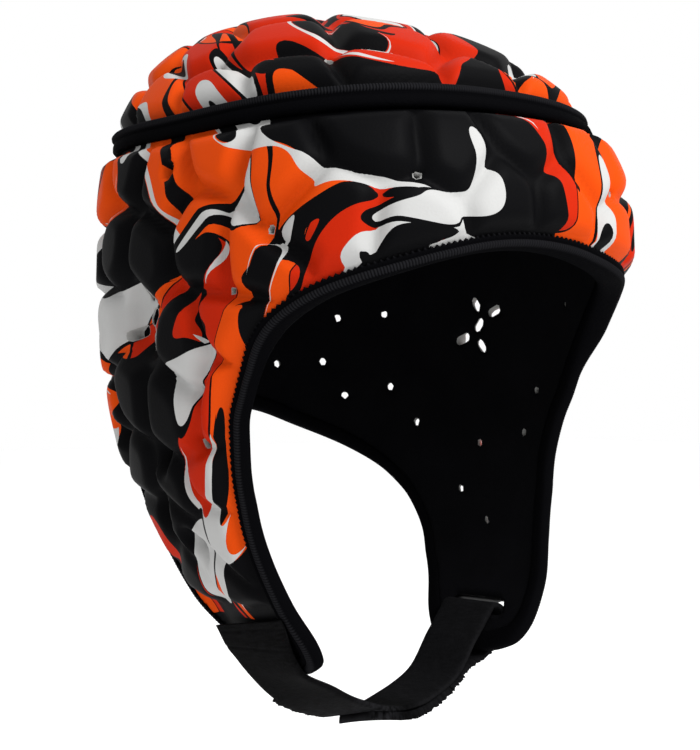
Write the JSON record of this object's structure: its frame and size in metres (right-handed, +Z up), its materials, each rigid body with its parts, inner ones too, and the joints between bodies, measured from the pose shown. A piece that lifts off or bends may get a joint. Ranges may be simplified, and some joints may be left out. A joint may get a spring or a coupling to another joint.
{
  "type": "padded head guard",
  "caption": "Soft padded head guard with crown and side panels, ear flaps, vents, bound edges and a chin strap that folds back through a slot.",
  "frame": {"origin": "inside of the crown, over the middle of the head", "axes": "+Z up through the crown, front (brow) is -Y, wearer's left is +X"},
  "size_m": [0.1968, 0.2145, 0.2912],
  "materials": {
    "printed_cover": "soft smooth stretch cover over foam, marbled print in black, red-orange, orange and white",
    "lining": "matte black knit",
    "seam_tape": "matte black woven tape",
    "binding": "matte black ribbed binding",
    "strap": "matte black webbing with loop pile outside"
  },
  "bodies": {
    "root": {"crown_panel": "printed_cover", "side_panel": "printed_cover", "crown_lining": "lining", "side_lining": "lining", "crown_seam_tape": "seam_tape", "edge_binding": "binding", "chin_strap": "strap"}
  },
  "joints": []
}
